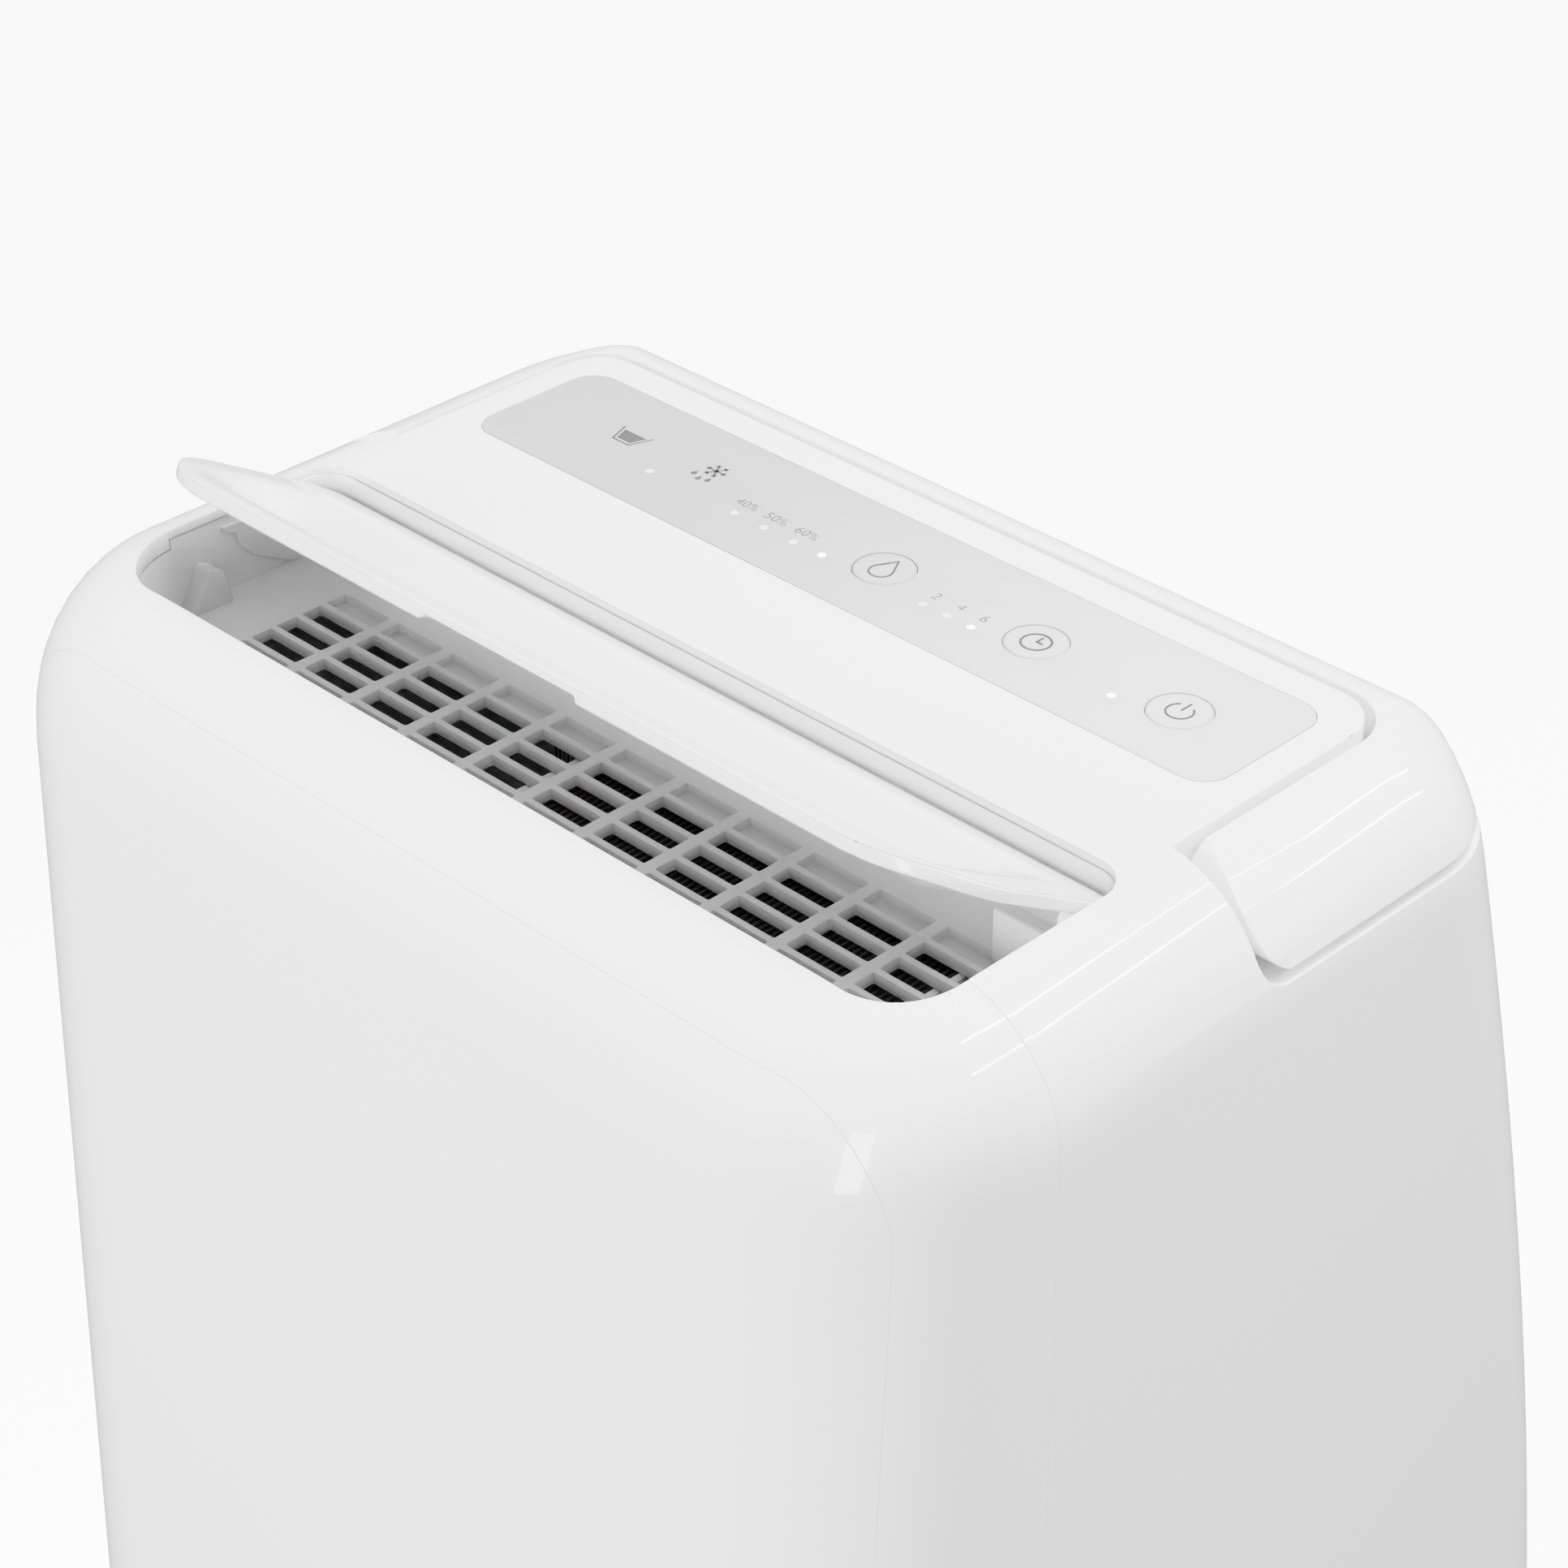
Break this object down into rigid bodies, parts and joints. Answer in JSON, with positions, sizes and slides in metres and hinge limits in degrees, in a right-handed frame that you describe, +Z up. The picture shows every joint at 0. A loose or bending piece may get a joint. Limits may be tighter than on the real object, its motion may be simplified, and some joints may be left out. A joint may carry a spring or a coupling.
{
  "type": "dehumidifier",
  "caption": "Portable dehumidifier with a tilting top louver, push-button deck, folding carry handle, slide-out water tank, rear filter and casters.",
  "frame": {"origin": "middle of the overall box's underside, on the floor between the casters", "axes": "+Z up, -Y out of the front panel, +X to the right seen from the front"},
  "size_m": [0.3628, 0.33, 0.5883],
  "materials": {
    "gloss_white": "glossy moulded white",
    "satin_white": "satin moulded white",
    "overlay_film": "light grey printed film, satin",
    "inner_grey": "plain moulded grey",
    "black_plastic": "matte black",
    "tank_plastic": "smoky clear moulding",
    "zinc_steel": "zinc plated",
    "black_paint": "gloss black paint",
    "fin_aluminium": "mill finish",
    "copper": "drawn copper tube",
    "rubber": "black rubber",
    "circuit_board": "green solder mask",
    "filter_mesh": "woven nylon net",
    "foam_white": "closed-cell foam"
  },
  "bodies": {
    "cabinet": {"cabinet": "gloss_white", "front_casing": "gloss_white", "front_panel": "gloss_white", "outlet_grille": "satin_white", "control_overlay": "overlay_film", "control_board": "circuit_board", "outlet_vanes": "black_plastic", "scroll_housing": "inner_grey", "fan_motor": "zinc_steel", "evaporator": "fin_aluminium", "condenser": "fin_aluminium", "compressor": "black_paint", "compressor_mount_1": "rubber", "compressor_mount_2": "rubber", "compressor_mount_3": "rubber", "suction_line": "copper", "base_pan": "inner_grey", "partition": "inner_grey", "drip_tray": "satin_white", "electrical_box": "inner_grey", "main_board": "circuit_board", "run_capacitor": "fin_aluminium", "humidity_sensor": "black_plastic", "float_switch": "black_plastic", "cord_gland": "black_plastic", "case_screw_1": "zinc_steel", "case_screw_2": "zinc_steel", "case_screw_3": "zinc_steel", "case_screw_4": "zinc_steel"},
    "louver": {"louver": "gloss_white"},
    "carry_handle": {"carry_handle": "gloss_white"},
    "humidity_button": {"humidity_button": "overlay_film"},
    "timer_button": {"timer_button": "overlay_film"},
    "power_button": {"power_button": "overlay_film"},
    "water_tank": {"water_tank": "tank_plastic", "tank_lid": "satin_white"},
    "tank_float": {"tank_float": "foam_white"},
    "filter_cartridge": {"rear_grille": "satin_white", "filter_frame": "black_plastic", "filter_mesh_left": "filter_mesh", "filter_mesh_right": "filter_mesh"},
    "drain_cap": {"drain_cap": "black_plastic"},
    "blower_wheel": {"blower_wheel": "black_plastic"},
    "caster_front_left_fork": {"caster_front_left_fork": "black_plastic"},
    "caster_front_left_wheel": {"caster_front_left_wheel": "rubber"},
    "caster_front_right_fork": {"caster_front_right_fork": "black_plastic"},
    "caster_front_right_wheel": {"caster_front_right_wheel": "rubber"},
    "caster_rear_left_fork": {"caster_rear_left_fork": "black_plastic"},
    "caster_rear_left_wheel": {"caster_rear_left_wheel": "rubber"},
    "caster_rear_right_fork": {"caster_rear_right_fork": "black_plastic"},
    "caster_rear_right_wheel": {"caster_rear_right_wheel": "rubber"}
  },
  "joints": [
    {"name": "louver_tilt", "type": "hinge", "parent": "cabinet", "child": "louver", "pos_m": [0, -0.0548, 0.5538], "axis": [-1, 0, 0], "range_deg": [-31, 29]},
    {"name": "handle_fold", "type": "hinge", "parent": "cabinet", "child": "carry_handle", "pos_m": [0, -0.006, 0.5468], "axis": [1, 0, 0], "range_deg": [0, 90]},
    {"name": "humidity_press", "type": "slide", "parent": "cabinet", "child": "humidity_button", "axis": [0, 0, -1], "range_m": [0, 0.0008], "stiffness_N_per_m": 400},
    {"name": "timer_press", "type": "slide", "parent": "cabinet", "child": "timer_button", "axis": [0, 0, -1], "range_m": [0, 0.0008], "stiffness_N_per_m": 400},
    {"name": "power_press", "type": "slide", "parent": "cabinet", "child": "power_button", "axis": [0, 0, -1], "range_m": [0, 0.0008], "stiffness_N_per_m": 400},
    {"name": "tank_slide", "type": "slide", "parent": "cabinet", "child": "water_tank", "axis": [0, 1, 0], "range_m": [0, 0.17]},
    {"name": "float_swing", "type": "hinge", "parent": "water_tank", "child": "tank_float", "pos_m": [-0.118, 0.09, 0.2015], "axis": [-1, 0, 0], "range_deg": [0, 20]},
    {"name": "filter_slide", "type": "slide", "parent": "cabinet", "child": "filter_cartridge", "axis": [0, 1, 0], "range_m": [0, 0.06]},
    {"name": "drain_cap_pull", "type": "slide", "parent": "cabinet", "child": "drain_cap", "axis": [0, 1, 0], "range_m": [0, 0.02]},
    {"name": "blower_spin", "type": "hinge", "parent": "cabinet", "child": "blower_wheel", "pos_m": [0.02, -0.073, 0.36], "axis": [0, 1, 0], "continuous": true},
    {"name": "caster_front_left_swivel", "type": "hinge", "parent": "cabinet", "child": "caster_front_left_fork", "pos_m": [-0.137, -0.11, 0.034], "axis": [0, 0, 1], "continuous": true},
    {"name": "caster_front_left_roll", "type": "hinge", "parent": "caster_front_left_fork", "child": "caster_front_left_wheel", "pos_m": [-0.137, -0.1015, 0.0125], "axis": [1, 0, 0], "continuous": true},
    {"name": "caster_front_right_swivel", "type": "hinge", "parent": "cabinet", "child": "caster_front_right_fork", "pos_m": [0.137, -0.11, 0.034], "axis": [0, 0, 1], "continuous": true},
    {"name": "caster_front_right_roll", "type": "hinge", "parent": "caster_front_right_fork", "child": "caster_front_right_wheel", "pos_m": [0.137, -0.1015, 0.0125], "axis": [1, 0, 0], "continuous": true},
    {"name": "caster_rear_left_swivel", "type": "hinge", "parent": "cabinet", "child": "caster_rear_left_fork", "pos_m": [-0.137, 0.115, 0.034], "axis": [0, 0, 1], "continuous": true},
    {"name": "caster_rear_left_roll", "type": "hinge", "parent": "caster_rear_left_fork", "child": "caster_rear_left_wheel", "pos_m": [-0.137, 0.1235, 0.0125], "axis": [1, 0, 0], "continuous": true},
    {"name": "caster_rear_right_swivel", "type": "hinge", "parent": "cabinet", "child": "caster_rear_right_fork", "pos_m": [0.137, 0.115, 0.034], "axis": [0, 0, 1], "continuous": true},
    {"name": "caster_rear_right_roll", "type": "hinge", "parent": "caster_rear_right_fork", "child": "caster_rear_right_wheel", "pos_m": [0.137, 0.1235, 0.0125], "axis": [1, 0, 0], "continuous": true}
  ]
}
